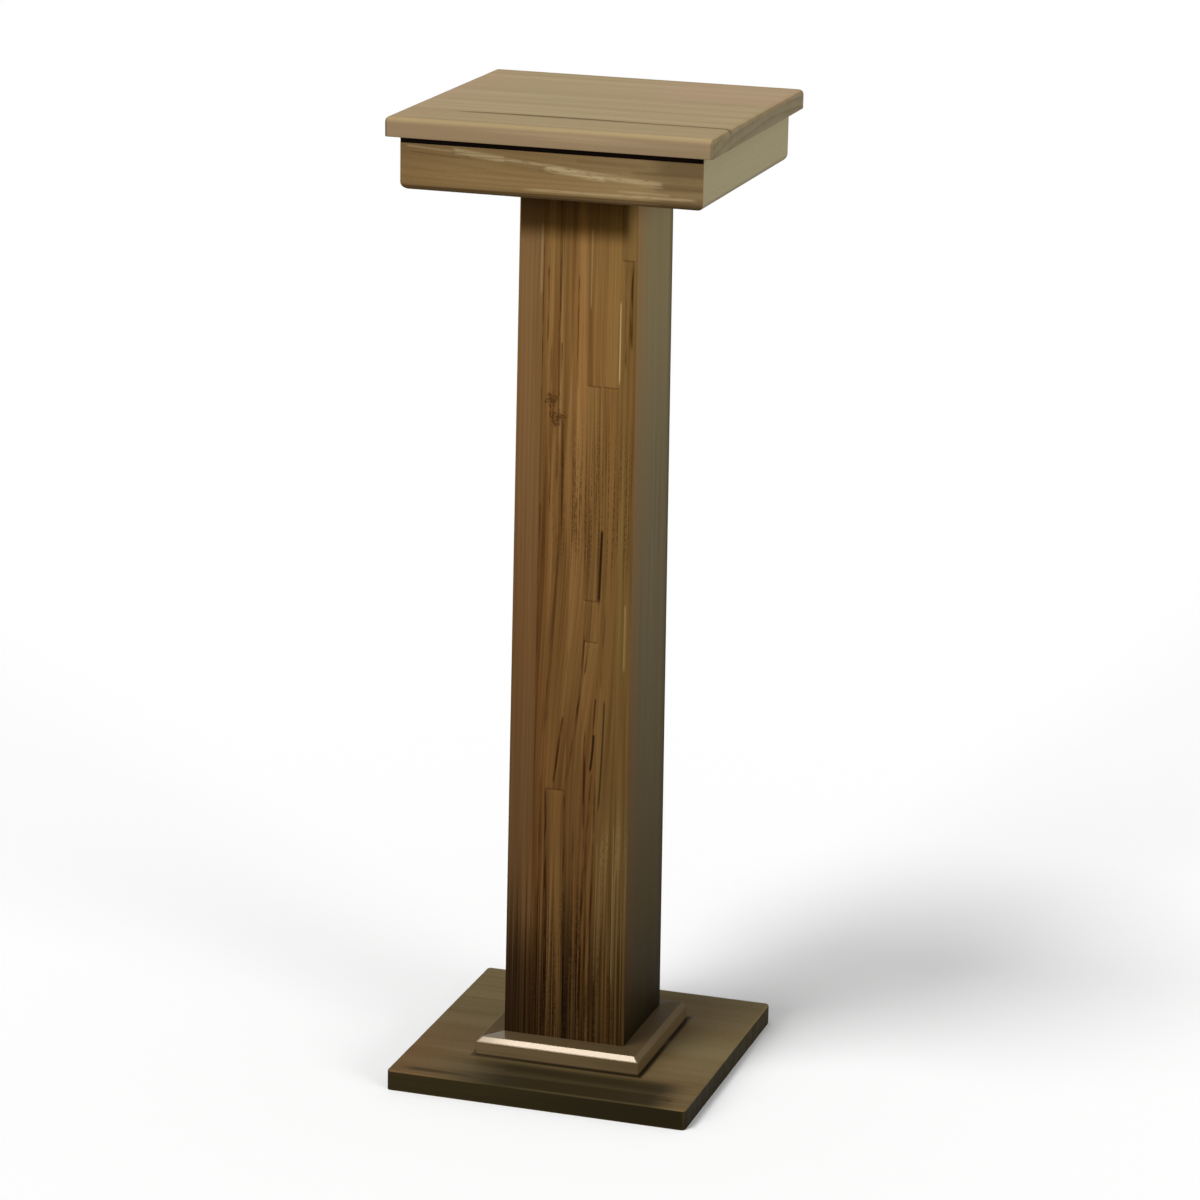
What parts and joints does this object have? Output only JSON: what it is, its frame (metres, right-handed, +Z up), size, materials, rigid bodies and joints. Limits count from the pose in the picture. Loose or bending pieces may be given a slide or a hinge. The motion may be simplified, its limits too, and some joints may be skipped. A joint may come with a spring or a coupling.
{
  "type": "wooden pedestal stand",
  "caption": "Tall square wooden pedestal: a slightly tapered shaft on a flat base board with a foot moulding, an apron under a flat top board that carries a plant or an ornament.",
  "frame": {"origin": "middle of the base board's underside, on the floor", "axes": "+Z up along the shaft, -Y towards the front with the shadow line, +X towards the right of the front"},
  "size_m": [0.3, 0.3, 0.915],
  "materials": {
    "base_wood": "dark olive-brown stain, thin satin varnish",
    "shaft_wood": "golden-brown stain over upright grain, darker towards the foot, thin satin varnish",
    "moulding_wood": "grey-brown stain under a glossier varnish",
    "apron_wood": "mid-brown stain with lighter streaks, thin satin varnish",
    "top_wood": "pale brown stain, worn satin varnish, darker end grain"
  },
  "bodies": {
    "root": {"base_board": "base_wood", "shaft": "shaft_wood", "moulding_front": "moulding_wood", "moulding_right": "moulding_wood", "moulding_back": "moulding_wood", "moulding_left": "moulding_wood", "apron_front": "apron_wood", "apron_right": "apron_wood", "apron_back": "apron_wood", "apron_left": "apron_wood", "top_board": "top_wood"}
  },
  "joints": []
}
